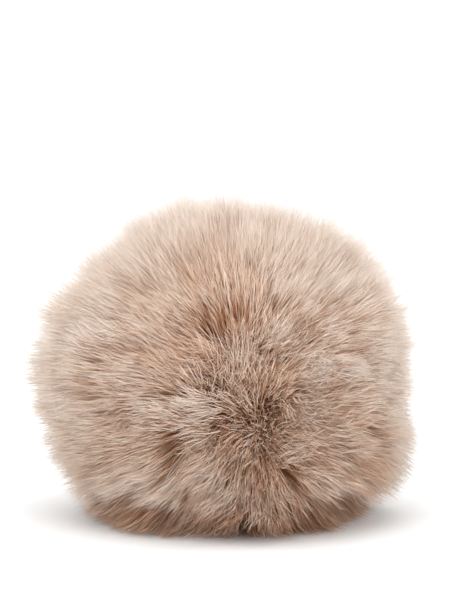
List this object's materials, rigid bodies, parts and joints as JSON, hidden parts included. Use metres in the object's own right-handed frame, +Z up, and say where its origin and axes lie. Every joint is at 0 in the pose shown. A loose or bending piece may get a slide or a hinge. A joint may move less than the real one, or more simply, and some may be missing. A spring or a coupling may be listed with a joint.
{
  "type": "fur pom pom with a press stud",
  "caption": "Round ball of long soft faux fur, lying on its side, with a sew-on press stud in a hollow at its back that snaps it to a hat or bag.",
  "frame": {"origin": "on the surface that the ball lies on, under the middle of its box", "axes": "+X to the right as seen from the front, +Y out of the press stud at the back, +Z up"},
  "size_m": [0.1332, 0.1018, 0.1063],
  "materials": {
    "faux_fur": "long soft acrylic pile, pale at the tips",
    "black_lacquer": "glossy stove lacquer",
    "brass": "slightly aged, satin"
  },
  "bodies": {
    "root": {"fur_ball": "faux_fur", "snap_plate": "black_lacquer", "snap_rim": "brass", "snap_stud": "brass"}
  },
  "joints": []
}
